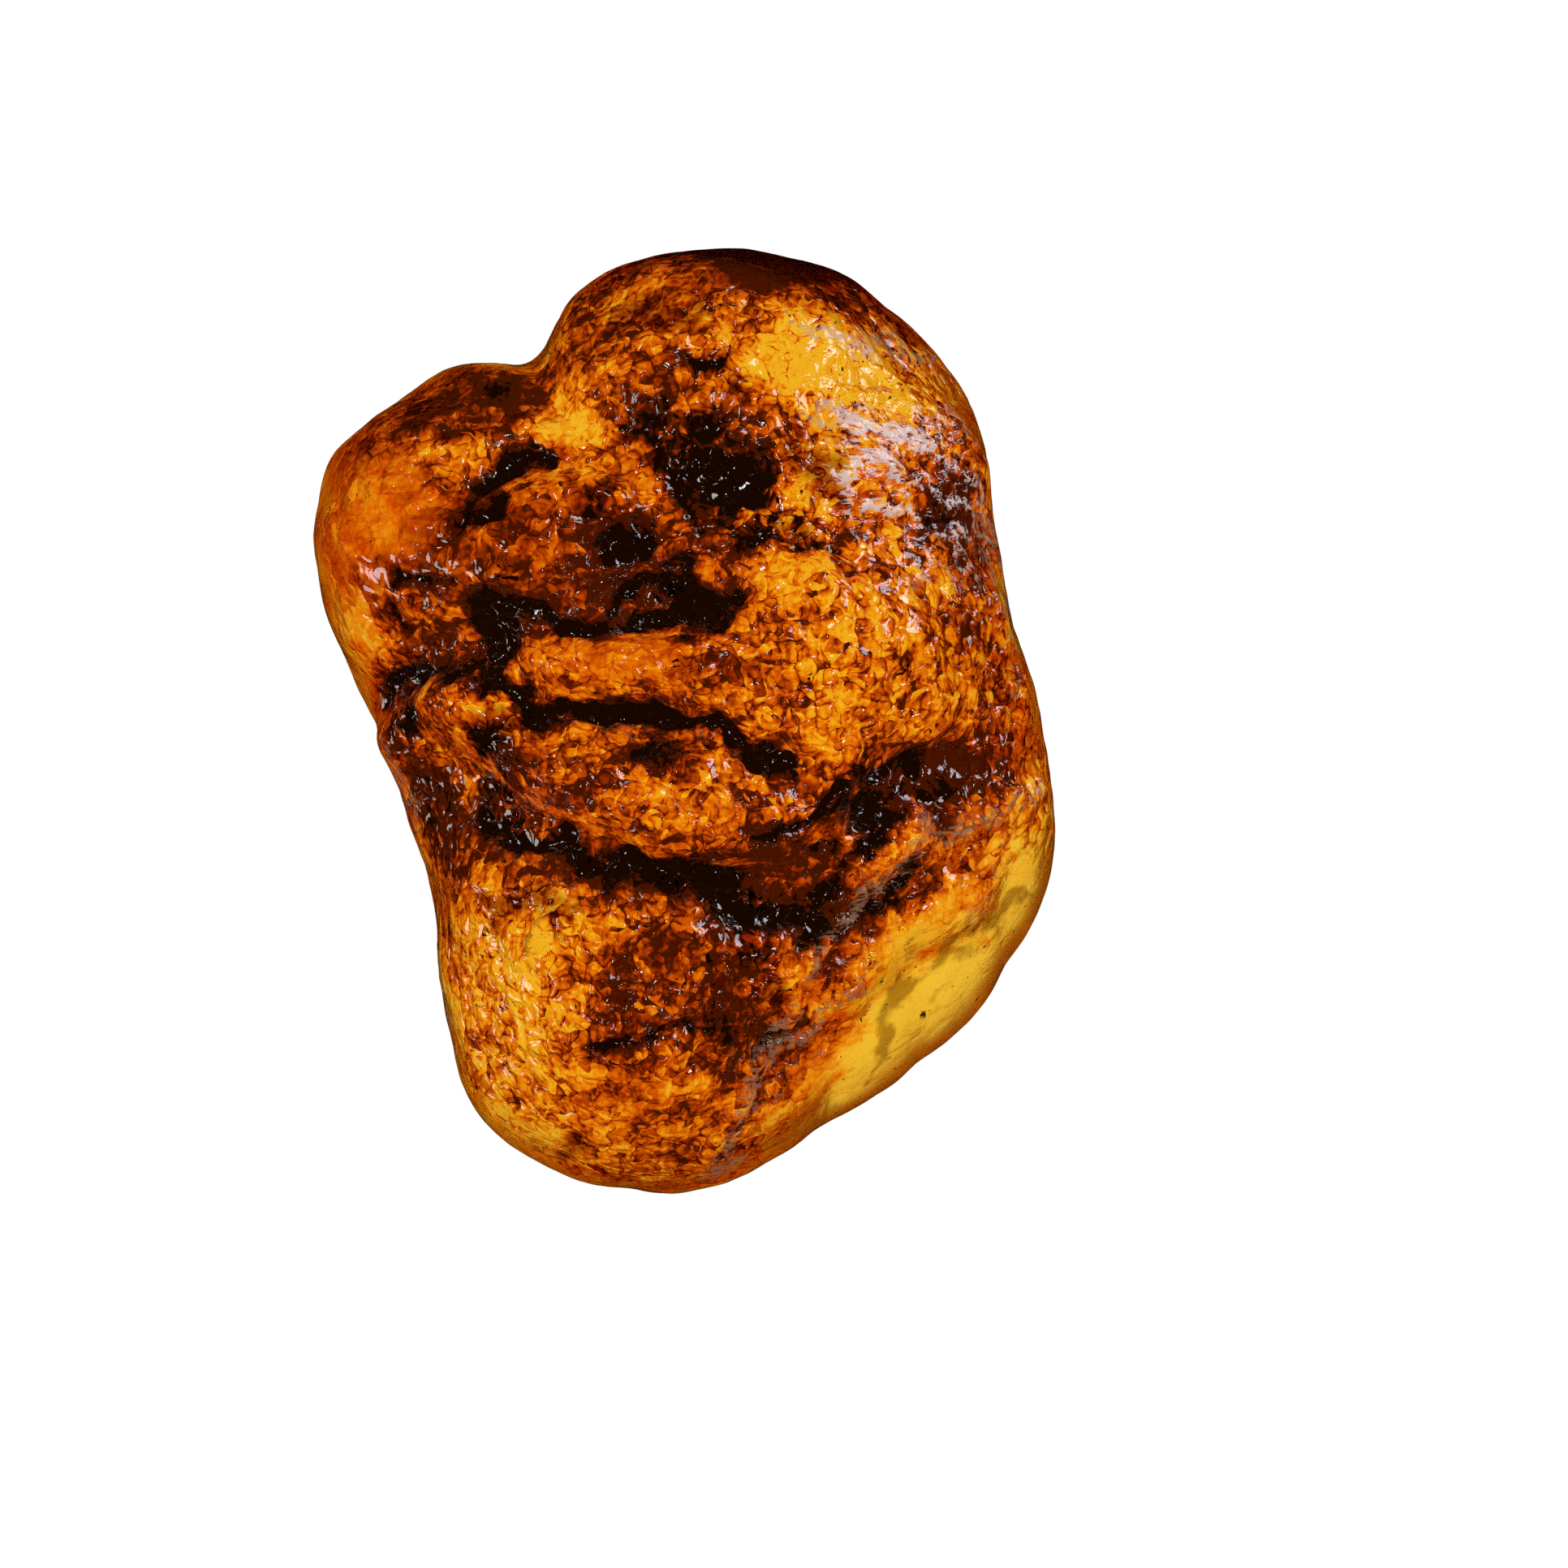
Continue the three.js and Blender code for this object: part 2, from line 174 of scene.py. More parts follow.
stoneLook = {
    "divisions": 2,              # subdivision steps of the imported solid
    "flatZone": (0.15, 2.2),     # mm above the table over which the relief fades in
    "faceZone": (6.0, 10.0),     # mm above the table over which the face's marks fade in
    "veilZone": (3, 6),          # the same for the pale dried skin, its colour partly a painted sheen
    "faceLean": (0.05, 0.5),     # upward lean of the surface over which the face's marks fade in
    "reliefLean": (0.3, 0.85),   # the same for the relief, and what the walls keep of it
    "wallRelief": 0.18,
    "wornLean": (0.1, 0.6),      # downward lean over which the underside turns matte
    "wander": [                  # ragged edges of all the marks: size in mm, wander in mm, two shifts
        (2.6, 0.9, (3.0, 9.0)), (0.8, 0.35, (5.0, 7.0)),
    ],
    "fall": {                    # how fast each kind of mark fades across its half width
        "seam": 0.7, "cut": 1.0, "patch": 0.9, "area": 1.0, "ridge": 1.0, "haze": 0.5, "skin": 0.35,
    },
    "pitEdge": (0.5, 1.1),       # share of its reach over which a patch's pitting fades out
    "areaEdge": (0.7, 1.15),     # the same for clear and polished areas, and for streaky ones
    "streakEdge": (0.6, 1.2),
    "polishCalm": 0.85,          # how much of the relief a polished skin loses
    "seamDepth": 0.7,            # mm
    "pits": (1.3, 0.7),          # size and depth in mm
    "skinHeight": 0.22,          # mm
    "folds": {                   # drawn-out folds of the shoulder, in mm, with the way they run
        "along": (0.75, -0.66), "across": (0.66, 0.75), "stretch": 3.4, "upright": 0.6,
        "size": 1.7, "shift": 4.0, "height": 0.4,
    },
    "haloReach": 1.6,            # mm over which the browning beside a seam fades
    "haloShift": 0.4,            # how far it turns the amber towards red
    "seams": [                   # dark seams on the face: strength, then places with half widths in mm
        (0.8, [(-11.4, 9.6, 0.35), (-10.2, 10.8, 0.5), (-9.4, 12.2, 0.8), (-8.6, 13.1, 0.6),
               (-7, 13.3, 0.3)]),
        (0.8, [(-15.2, 5.9, 0.25), (-14.4, 5, 0.35)]),
        (0.75, [(-14.4, 7, 0.25), (-13, 6.9, 0.35), (-11.6, 6.6, 0.25)]),
        (0.9, [(-15.5, 1.2, 0.4), (-14.6, 2, 0.5), (-13.4, 2.7, 0.5), (-11.5, 2.9, 0.35), (-10.2, 3, 0.4)]),
        (0.8, [(-13.9, 1.8, 0.3), (-14, 0.4, 0.45), (-13.8, -0.8, 0.35)]),
        (1.0, [(-10.2, 5.4, 0.6), (-9.2, 4.6, 1.2), (-9.2, 3.4, 1.0), (-9.4, 2.2, 0.6), (-8.8, 1.5, 0.6)]),
        (1.0, [(-9.6, 5.3, 0.6), (-7.4, 5, 0.5), (-5, 5, 0.4), (-3, 4.9, 0.45), (-1, 4.75, 0.35),
               (0.6, 5, 0.5), (1.6, 5.6, 0.5)]),
        (1.0, [(-3.4, 5.7, 0.3), (-1.8, 6.4, 0.4), (0, 6.2, 0.7), (1.6, 6, 0.7), (2.6, 6.2, 0.4)]),
        (0.8, [(-0.8, 7.4, 0.5), (0.6, 7.2, 0.6), (1.4, 6.6, 0.5)]),
        (1.0, [(-9, 1.5, 0.6), (-7.6, 0.9, 0.5), (-5.4, 0.3, 0.5), (-3, -0.3, 0.55), (-1, -0.2, 0.55),
               (0.8, -0.5, 0.6), (2.6, -1.2, 0.55), (4.2, -1.9, 0.5), (5.6, -2.4, 0.25)]),
        (0.95, [(-2.4, -1.7, 0.35), (-0.6, -1.7, 0.5), (1, -1.8, 0.3)]),
        (0.95, [(-10.6, -5.2, 0.5), (-8.6, -5.8, 0.55), (-6.4, -6.2, 0.6), (-4.4, -6.9, 0.6),
                (-2.2, -7.5, 0.6), (0, -8, 0.75), (2, -8.9, 1.1), (4, -9.6, 1.0), (5.6, -9.9, 0.8),
                (7, -10.5, 0.5)]),
        (0.95, [(3.6, -6, 0.2), (5, -5.8, 0.3), (6, -5.3, 0.3), (7, -4.8, 0.35), (8, -4.1, 0.5),
                (9, -3.2, 0.7), (10.4, -2.5, 0.7), (12, -2.2, 0.4)]),
        (0.85, [(8.8, -4.6, 0.6), (10, -4.7, 0.7), (11, -4.9, 0.5)]),
        (0.7, [(10.2, -5.6, 0.5), (9, -6.4, 0.45), (7.8, -7.4, 0.5), (6.8, -8.6, 0.6)]),
        (0.75, [(5.8, -6.5, 0.2), (7.2, -6.3, 0.25)]),
        (0.95, [(6.2, -11.2, 0.3), (8.2, -10.4, 0.35), (9.8, -9.5, 0.35), (11, -8, 0.7),
                (11.8, -6.9, 0.3)]),
        (0.95, [(3.7, -17.4, 0.25), (4.6, -16.2, 0.4), (6, -14.8, 0.25)]),
        (0.75, [(-4.4, -16.9, 0.4), (-2.6, -16.2, 0.35), (-0.4, -15.9, 0.25), (1.6, -15.4, 0.2)]),
        (0.6, [(-2.9, 15.2, 0.4), (-1.6, 13.8, 0.5), (-0.6, 12.4, 0.5), (0.2, 10.8, 0.4), (1.2, 9.8, 0.4)]),
        (0.6, [(2.2, 9, 0.3), (4, 8.9, 0.3), (6, 8.7, 0.3), (7.8, 8.6, 0.25)]),
        (0.5, [(14.6, 12.6, 0.5), (14, 11, 0.7), (12.6, 9.8, 0.4)]),
    ],
    "patches": [                 # charred patches: middle, reach, turn in degrees, strength
        ((2.2, 12.0), (3.2, 1.8), -40, 1.0), ((-1.2, 15.1), (1.6, 0.8), -20, 0.85),
        ((1.4, 14.6), (1.4, 0.7), 0, 0.8), ((1.2, 18.2), (1.0, 0.5), 0, 0.75),
        ((2.4, 16), (1.4, 0.5), -10, 0.45), ((-3, 8.6), (1.9, 1.6), -10, 0.85),
        ((-4.2, 10.6), (1.6, 0.8), 10, 0.5), ((-10, -1.4), (1.1, 1.2), 0, 0.8),
        ((-9.4, -3.2), (1.1, 1.2), 0, 0.75), ((-13.2, -4), (1.4, 2.2), 0, 0.45),
        ((-14.8, -0.4), (0.9, 1.4), 0, 0.5), ((6.8, -8.6), (1.5, 1.2), 0, 0.4),
        ((3.4, -12.4), (1.2, 1.8), 10, 0.42), ((2.4, -15.2), (1.2, 2.2), 10, 0.4),
        ((12.6, -3.6), (1.8, 1.2), 10, 0.5), ((13.4, 10.4), (1.8, 0.7), -35, 0.75),
        ((-9.8, 17.0), (1.5, 1.1), 10, 0.5), ((-13.2, 16.2), (1.6, 1.0), 20, 0.4),
    ],
    "plainGrainAndShade": 0.78,           # how strong the grain's pattern and its painted shade are, and patches where they are more or less
    "grit": [                    # middle, reach, turn in degrees, change
        ((7, 2.4), (7, 5.6), 0, 0.25), ((-6, -12), (4.4, 4), 0, 0.2), ((-8, -20), (3, 3), 0, 0.2),
        ((8, 17.6), (4.4, 2.4), -25, 0.9), ((-8, 8.8), (4.4, 3), 0, -0.2),
        ((-2.6, -19), (4, 2.6), 0, -0.15), ((-14.8, 9.8), (2.6, 4), 0, -0.35),
        ((3, 23), (8, 2.4), 0, -0.25), ((-3, 3), (4, 1.4), -4, -0.15),
        ((11.4, -11.4), (6, 2), 45, -0.35), ((-10.6, 15.6), (4, 2.4), 0, -0.15),
        ((6.4, 10), (3.6, 1.6), 0, 0.4),
    ],
    "smoke": [                   # greyish olive haze: middle, reach, turn in degrees, share
        ((7, 12.6), (2.4, 2.6), 0, 0.7), ((5.4, 9.6), (2.4, 0.9), -5, 0.7),
        ((2.6, 16.6), (2, 1.6), 0, 0.5), ((-1.6, 20.6), (4.4, 1.6), 0, 0.65),
        ((-6.6, 18.8), (1.6, 1.2), 0, 0.4), ((-7.6, -9.4), (3, 1), -5, 0.8),
        ((-9.4, -11), (1, 1.2), 0, 0.6), ((-8.8, -0.2), (2, 0.7), -20, 0.7),
        ((-5.4, -2.2), (2.4, 0.8), -10, 0.5), ((4.6, -13.6), (0.9, 0.8), 0, 0.8),
        ((-5.6, 11.4), (1.4, 1.4), 0, 0.5), ((17.6, -6.6), (1.2, 0.5), 30, 0.6),
        ((-5.8, -21.8), (1, 0.7), 0, 0.7), ((-3, 3.4), (2, 0.7), -4, 0.35),
        ((13.2, -8), (1.8, 0.9), 20, 0.5),
    ],
    "smokeBands": [              # the same haze along a line: share, then places with half widths in mm
        (0.7, [(18.4, -9.2, 0.35), (16.8, -9.8, 0.5), (15, -10.8, 0.45), (13.8, -12, 0.6),
               (12.4, -12.8, 0.5), (11.4, -14, 0.6), (10.6, -15.6, 0.5), (10, -17.4, 0.45),
               (9.8, -18.6, 0.3)]),
        (0.4, [(14.2, -13.8, 0.2), (13.2, -14.6, 0.25), (11.8, -14.8, 0.2)]),
        (0.8, [(-7.7, -11.4, 0.15), (-6.8, -10.4, 0.15), (-5.6, -10.2, 0.15), (-5.1, -10.4, 0.15)]),
        (0.7, [(-6.9, -10.8, 0.12), (-5.6, -10.7, 0.12)]),
    ],
    "skinAndSheenLines": [                   # pale dried skin along a line, its grey-lilac colour partly a painted sheen: share, then places with half widths in mm
        (0.5, [(1.6, 21.7, 0.3), (2.8, 21.6, 0.4), (3.8, 21.4, 0.2)]),
        (0.8, [(5.2, 20.4, 0.2), (6.2, 19.8, 0.35), (7.5, 19.4, 0.4), (9, 19, 0.35), (10.2, 18.4, 0.2)]),
        (0.9, [(9, 19.9, 0.4), (10.6, 19.4, 0.35), (12, 18.8, 0.3), (13.2, 18.4, 0.2)]),
        (1.0, [(7, 15.8, 0.3), (8.2, 15.3, 0.45), (9, 14.7, 0.35), (10, 14.5, 0.3), (11, 14.3, 0.4),
               (12, 13.9, 0.4), (12.6, 13.7, 0.2)]),
        (0.8, [(5.6, 15.1, 0.15), (6.6, 15, 0.25), (7.3, 14.5, 0.15)]),
        (1.0, [(8, 12.6, 0.2), (8.8, 12.8, 0.4), (9.6, 12.7, 0.4), (10.2, 12.3, 0.2)]),
        (0.9, [(9.4, 13.2, 0.15), (10.5, 12.7, 0.2), (11.6, 12.2, 0.2), (12.8, 11.7, 0.15)]),
        (0.9, [(9.8, 12.9, 0.15), (11.2, 11.2, 0.15), (12.6, 9.8, 0.15), (14.4, 9, 0.15)]),
        (1.0, [(13.2, 11.4, 0.15), (14, 11.1, 0.35), (14.8, 10.6, 0.25), (15.7, 9, 0.15)]),
        (1.0, [(10, 10.3, 0.2), (10.6, 10.7, 0.3), (11.6, 10.6, 0.12), (12.4, 9.9, 0.1)]),
        (0.8, [(7, 12.6, 0.12), (8.1, 11.7, 0.15), (8.7, 10.8, 0.12), (8.8, 9.6, 0.12), (9.2, 8.3, 0.1)]),
        (0.8, [(11.7, 9, 0.12), (12.2, 8.2, 0.15), (13.6, 7.1, 0.15), (14, 6.4, 0.1)]),
        (0.8, [(13.8, 8.9, 0.12), (14.2, 7.6, 0.15), (15.1, 7, 0.15)]),
        (0.9, [(14.2, 9.1, 0.15), (15.9, 8.3, 0.2), (16.3, 5.6, 0.2), (16.8, 3.6, 0.2), (17, 1, 0.15)]),
        (0.9, [(15.1, 12.8, 0.15), (15.8, 10.4, 0.2), (16, 9, 0.15)]),
        (0.7, [(13.1, 13.6, 0.15), (14.2, 12.8, 0.2), (14.4, 11.9, 0.15)]),
        (0.8, [(11.2, 7.3, 0.15), (12, 6.9, 0.3), (12.6, 6.6, 0.15)]),
        (0.7, [(13, 16.6, 0.2), (14.2, 15.4, 0.25), (15.3, 14.5, 0.2)]),
        (0.6, [(12, 15.9, 0.3), (12.8, 15.2, 0.6), (13.4, 14.6, 0.3)]),
        (0.9, [(6.6, -12.6, 0.2), (7, -11, 0.3), (7.8, -10.2, 0.45), (8.8, -9.4, 0.45), (9.6, -8.4, 0.4),
               (10.6, -7.2, 0.35), (12.4, -5.6, 0.35), (13.8, -5.2, 0.35), (15.4, -5.2, 0.3),
               (18, -3.6, 0.35)]),
        (0.9, [(1.4, -23.6, 0.3), (3, -20.8, 0.35), (4.2, -18.2, 0.45), (5, -17, 0.35),
               (6.4, -15.8, 0.3), (8.6, -14, 0.15)]),
        (0.9, [(3.3, -18.8, 0.2), (4, -17, 0.2), (4.7, -15.2, 0.2), (5.4, -14, 0.2)]),
        (0.6, [(3.4, -21, 0.2), (5.4, -18.4, 0.25), (7.4, -16.6, 0.2)]),
        (0.6, [(14.6, -11, 0.15), (15.8, -8.8, 0.25), (16.6, -6, 0.2), (18, -4.2, 0.2)]),
        (0.5, [(9, -13.6, 0.2), (11, -11, 0.3), (12.6, -9.6, 0.2)]),
        (0.7, [(-5.4, -0.8, 0.2), (-4, -0.5, 0.2), (-2.8, -1.1, 0.2)]),
        (0.5, [(-2.2, -1.4, 0.15), (-0.4, -1, 0.2), (1.2, -1.6, 0.15), (3, -2.1, 0.2), (4.3, -2.8, 0.12)]),
        (0.6, [(-14.6, 1.4, 0.15), (-13.8, 0.6, 0.15)]),
        (0.5, [(-9.6, -6.5, 0.2), (-8.4, -6.4, 0.25), (-6.8, -7, 0.2)]),
        (0.5, [(0.2, -9.2, 0.2), (1.2, -10.2, 0.35)]),
        (0.7, [(-10.6, 14, 0.3), (-9.2, 14.3, 0.3), (-8.4, 14.2, 0.15)]),
        (0.5, [(-18.6, 13, 0.2), (-18.9, 9, 0.25), (-18.6, 5, 0.2), (-17.8, 2, 0.2)]),
        (0.5, [(-17.4, 12.6, 0.12), (-17.6, 9.6, 0.15), (-17, 7, 0.12)]),
        (0.8, [(-15.8, -1, 0.3), (-15, -3.4, 0.4), (-14.2, -7, 0.3), (-13.4, -11, 0.25),
               (-12.6, -16, 0.35)]),
        (0.5, [(-11.6, -8, 0.15), (-11.1, -11, 0.15)]),
    ],
    "tones": [                   # soft areas: middle, reach, turn in degrees, towards gold (-) or red (+); the strong one along the top edge is painted shade
        ((12.8, -15.4), (10.6, 3.6), 45, -0.58), ((18.4, -8), (2.4, 1.8), 40, -0.3),
        ((7.4, -17.2), (3, 0.5), 55, 0.35), ((12, -12.2), (3, 0.5), 40, 0.3),
        ((6.4, -19.8), (2.4, 0.4), 40, 0.3), ((15.2, -9.6), (2, 0.5), 40, 0.25),
        ((13.6, -15.4), (2, 0.4), 50, 0.2), ((9, -11.6), (3.2, 1.4), 46, 0.1),
        ((11.6, -11.4), (4.6, 1.6), 45, -0.3), ((13.6, -6.6), (2.4, 0.9), 15, -0.15),
        ((6, -16), (1.2, 2), -20, 0.2), ((-8.4, -17), (3.4, 6), 0, -0.36),
        ((-7.4, -11.4), (3, 2), 10, -0.4), ((9.8, 4.6), (2.2, 1.6), 0, -0.45),
        ((6.8, 2.4), (2, 1.6), 0, -0.4), ((7.8, -1), (1.8, 2.2), 0, -0.4),
        ((-3, 2.8), (3.2, 1.1), 0, -0.1), ((0.6, -4.6), (3.6, 1.1), -6, -0.28),
        ((-15, 10.6), (2, 3), 0, -0.15), ((-5.4, 14.8), (2.2, 1.5), 0, -0.95),
        ((-4.6, 12.4), (1.2, 0.9), 0, -0.3), ((-4.6, 17.4), (1.2, 0.6), 0, -0.2),
        ((4.2, 18.4), (3, 1.8), 0, -0.4), ((-1.6, 16.7), (1.2, 0.5), 0, 0.25),
        ((-11.4, 13.4), (0.8, 0.6), 0, -0.3), ((-9.4, 17.4), (1.8, 1), 0, 0.3),
        ((8.6, 17.4), (4.2, 2), -20, -0.85), ((-13, 14), (1.2, 0.8), 0, -0.5),
        ((-16.6, 4.8), (1.2, 1.6), 20, -0.6), ((-15.2, 2.9), (1, 0.8), 0, -0.3),
        ((5.4, 7.4), (2.8, 1), 0, -0.35), ((6.6, 12.4), (2, 2.4), 0, -0.3),
        ((-8.6, -14.8), (1.6, 2.6), 0, -0.25), ((0.8, 19.6), (3.2, 1), 0, -0.12),
        ((-10.4, -22), (4, 2), 0, -0.3), ((-8.6, 8.4), (4, 2.4), 0, 0.3),
        # painted shade: the first area here darkens the top edge, as if shaded from above
        ((3, 24.2), (8, 2.2), -10, 1.1), ((-6, 18.6), (2.4, 2.2), 0, 0.3),
        ((-10.6, 16.4), (4, 1.8), 6, 0.35), ((13, -2.4), (3.4, 1.6), 20, 0.45),
        ((0.6, -20), (3.4, 3.6), 0, 0.05), ((-0.6, -12.2), (2.4, 2.4), 0, 0.45),
        ((3.2, -15), (2.4, 4), 0, 0.16), ((-14, -3), (2.2, 3.8), 0, 0.2),
        ((-12.6, -9), (1.4, 4), 0, 0.3), ((-6.4, -4.2), (3, 1), 0, 0.3),
        ((-6, -7.8), (3.6, 0.9), -8, 0.3), ((5, -7.4), (3, 1.6), 0, 0.35),
        ((3.2, 15.4), (3, 2.8), 0, -0.05), ((-9.2, -18.3), (0.5, 0.5), 0, -0.7),
        ((10.8, 20.6), (2, 0.8), -40, 0.4), ((11, 16.2), (1.6, 0.35), 20, -0.7),
        ((9.6, 16.7), (1, 0.4), 0, 0.5), ((13.4, 12.2), (0.9, 0.5), 0, 0.5),
        ((12.4, 9), (0.9, 0.5), -30, 0.4), ((14.8, 8.2), (0.8, 0.6), 0, 0.35),
        ((7.2, -12.6), (1.2, 1.2), 0, 0.35), ((-10.4, -16), (1.6, 0.7), 0, 0.35),
        ((13, -7.8), (1.8, 0.8), 20, 0.3), ((0.8, 9.6), (1.2, 2), 0, 0.25),
        ((-12, 5), (2, 1.6), 0, 0.25), ((13.8, 11), (2, 2), 0, 0.3), ((-4, -2.4), (3, 1), -15, 0.1),
        ((5, -0.4), (2, 1.4), 0, -0.1), ((-12.2, 1), (1.2, 1.1), 30, -0.1),
        ((-9, -0.2), (1.8, 0.7), -20, -0.3), ((-14.6, 10), (2.4, 3.4), 0, 0.3),
        ((-5.6, -1.6), (2.4, 0.8), -10, -0.1), ((-1.4, 8.6), (0.8, 2.4), 30, 0.15),
        ((4.4, 10), (1, 0.35), -5, -0.8),
    ],
    "clear": [                   # clearer areas with little crust: middle, reach, turn in degrees, share
        ((14, -16.2), (13.4, 5.4), 45, 0.95), ((10, 17), (3, 1.6), -30, 0.4),
        ((-9, -21.6), (3.4, 2), -20, 0.4), ((-14.6, 10), (2.4, 3.4), 0, 0.65),
        ((-3, 3), (3.6, 1.2), -4, 0.5), ((-17.6, 8), (1.6, 7), 0, 0.6),
    ],
    "polish": [                  # glossier areas with a smoother skin: middle, reach, turn, share
        ((14, -16.2), (13.6, 5.8), 45, 0.97), ((0, -2), (5.4, 0.9), -15, 0.8),
        ((-0.6, -11), (2.6, 2.4), 0, 0.55), ((11.6, 12), (5, 5), -42, 0.55),
        ((-10, -1), (1.8, 1.4), 0, 0.6), ((-7, -8), (3.6, 1), -8, 0.5), ((9, -9.6), (7, 1), 45, 0.7),
        ((-17, 8), (2.4, 7), 0, 0.7), ((3, 24.6), (9, 2), -8, 0.6),
    ],
    "streaky": [                 # drawn-out texture, along the lower ridge (+) or down the shoulder (-)
        ((13.2, -13.2), (10, 3.4), 45, 0.8), ((9.6, -9.6), (7, 1.3), 45, 1.0),
        ((3.6, -18.4), (6, 1.3), 68, 1.0), ((11, 12.6), (5, 4.6), -42, -1.0),
        ((8.6, 17.6), (4.4, 2.2), -25, -0.6), ((13.6, 5.6), (1.8, 4), 0, -0.5),
    ],
    "ridges": [                  # raised edges: height in mm, then places with half widths in mm
        (0.45, [(-5.6, -0.9, 0.4), (-4, -0.8, 0.5), (-2.4, -1.3, 0.5), (-0.4, -1.5, 0.7),
                (1.6, -2.2, 0.6), (4, -3.1, 0.4)]),
        (0.5, [(0.8, -23, 0.5), (2.8, -20.2, 0.7), (4.2, -17.6, 0.6), (5.6, -13.6, 0.6),
               (6.8, -11.6, 0.6), (8.6, -10.2, 0.6), (11, -8.2, 0.6), (12.6, -6.4, 0.6),
               (15.4, -4.6, 0.6), (18, -3.6, 0.5)]),
        (0.35, [(8.2, -8.6, 0.4), (10, -6.9, 0.5), (12, -5.4, 0.5)]),
        (0.3, [(6.6, 16.2, 0.3), (9.8, 14.9, 0.35), (13.4, 13.8, 0.3)]),
        (0.3, [(7.6, 12.6, 0.3), (9.8, 13, 0.3), (12, 11.2, 0.3), (15, 10.4, 0.3)]),
        (0.25, [(9.6, 10.2, 0.3), (11.8, 10.8, 0.3)]),
        (0.25, [(12.4, 8.8, 0.3), (13.8, 7.8, 0.3), (15.2, 6.4, 0.3)]),
        (0.3, [(-10.4, -8.6, 0.4), (-8, -8.3, 0.4), (-5.2, -8.7, 0.4)]),
        (0.3, [(-2.4, -10.4, 0.4), (-0.8, -9.8, 0.4), (1.4, -10.4, 0.4)]),
        (0.25, [(-8.2, -11.6, 0.25), (-6.6, -10.5, 0.25), (-5, -10.4, 0.25)]),
    ],
    "relief": [                  # name, group, texture, size in mm, height in mm, middle level
        ("lumps", "free", "CLOUDS", 4.5, 0.9, 0.5),
        ("knobs", "free", "CLOUDS", 1.9, 0.4, 0.5),
        ("pebbles", "free", "VORONOI", 1.1, -0.3, 0.4),
    ],
}


def awayFrom(points, route):
    nearest = np.full(len(points), 1e9)
    share = np.full(len(points), 1e9)
    for (ax, ay, aw), (bx, by, bw) in zip(route, route[1:]):
        dx, dy = bx - ax, by - ay
        along = np.clip(((points[:, 0] - ax) * dx + (points[:, 1] - ay) * dy) / (dx * dx + dy * dy), 0, 1)
        away = np.hypot(points[:, 0] - ax - along * dx, points[:, 1] - ay - along * dy)
        nearest = np.minimum(nearest, away)
        share = np.minimum(share, away / (aw + along * (bw - aw)))
    return share, nearest


def patchShare(points, middle, reach, turn):
    c, s = math.cos(math.radians(turn)), math.sin(math.radians(turn))
    dx, dy = points[:, 0] - middle[0], points[:, 1] - middle[1]
    return np.hypot((c * dx + s * dy) / reach[0], (c * dy - s * dx) / reach[1])


def alongLines(points, rows, fall):
    total = np.zeros(len(points))
    for strength, route in rows:
        total = np.maximum(total, strength * np.exp(-fall * awayFrom(points, route)[0] ** 2))
    return total


def inAreas(points, rows):
    total = np.zeros(len(points))
    for middle, reach, turn, share in rows:
        away = patchShare(points, middle, reach, turn)
        total = np.maximum(total, share * (1 - smooth(away, *stoneLook["areaEdge"])))
    return total


def grainAt(points, size, shift):
    move = Vector((shift, shift * 0.7, -shift * 0.4))
    return np.array([noise.fractal(Vector(p) / size + move, 0.9, 2.0, 2) for p in points])


print("stone: copying the packed solid")
clearSelection()
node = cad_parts["amber_nugget"]
pick(node)
bpy.ops.object.duplicate()
stone = bpy.context.object
stone.name = "amberStone"
bpy.ops.object.mode_set(mode="EDIT")
bpy.ops.mesh.select_all(action="SELECT")
bpy.ops.mesh.remove_doubles(threshold=1e-6)
bpy.ops.object.mode_set(mode="OBJECT")
applyModifier(stone, "SUBSURF", "fine", levels=stoneLook["divisions"],
              render_levels=stoneLook["divisions"])
points = readPoints(stone)
normals = readNormals(stone)
print("stone: points", len(points))

print("stone: marking seams, charred patches, haze and skin")
plan = points[:, :2].copy()
for size, amount, shifts in stoneLook["wander"]:
    plan += amount * np.stack([grainAt(points, size, shift) for shift in shifts], 1)
upward = smooth(points[:, 2], *stoneLook["faceZone"])
faceSide = upward * smooth(normals[:, 2], *stoneLook["faceLean"])
fall = stoneLook["fall"]
char = np.zeros(len(points))
cut = np.zeros(len(points))
halo = np.zeros(len(points))
for strength, route in stoneLook["seams"]:
    share, away = awayFrom(plan, route)
    char = np.maximum(char, strength * np.exp(-fall["seam"] * share ** 2))
    cut = np.maximum(cut, strength * np.exp(-fall["cut"] * share ** 2))
    halo = np.maximum(halo, strength * np.exp(-away / stoneLook["haloReach"]))
pitted = np.zeros(len(points))
for middle, reach, turn, strength in stoneLook["patches"]:
    share = patchShare(plan, middle, reach, turn)
    pitted = np.maximum(pitted, strength * (1 - smooth(share, *stoneLook["pitEdge"])))
    char = np.maximum(char, strength * np.exp(-fall["patch"] * share ** 2))
    halo = np.maximum(halo, strength * np.exp(-np.maximum(share - 0.5, 0) * 1.2))
tone = stoneLook["haloShift"] * halo
for middle, reach, turn, shift in stoneLook["tones"]:
    tone += shift * np.exp(-fall["area"] * patchShare(plan, middle, reach, turn) ** 2)
raised = alongLines(plan, stoneLook["ridges"], fall["ridge"])
clear = inAreas(plan, stoneLook["clear"])
polish = inAreas(plan, stoneLook["polish"])
streaky = np.zeros(len(points))
for middle, reach, turn, share in stoneLook["streaky"]:
    streaky += share * (1 - smooth(patchShare(plan, middle, reach, turn), *stoneLook["streakEdge"]))
streaky = np.clip(streaky, -1, 1)
smoke = alongLines(plan, stoneLook["smokeBands"], fall["haze"])
for middle, reach, turn, share in stoneLook["smoke"]:
    smoke = np.maximum(smoke, share * np.exp(-fall["area"] * patchShare(plan, middle, reach, turn) ** 2))
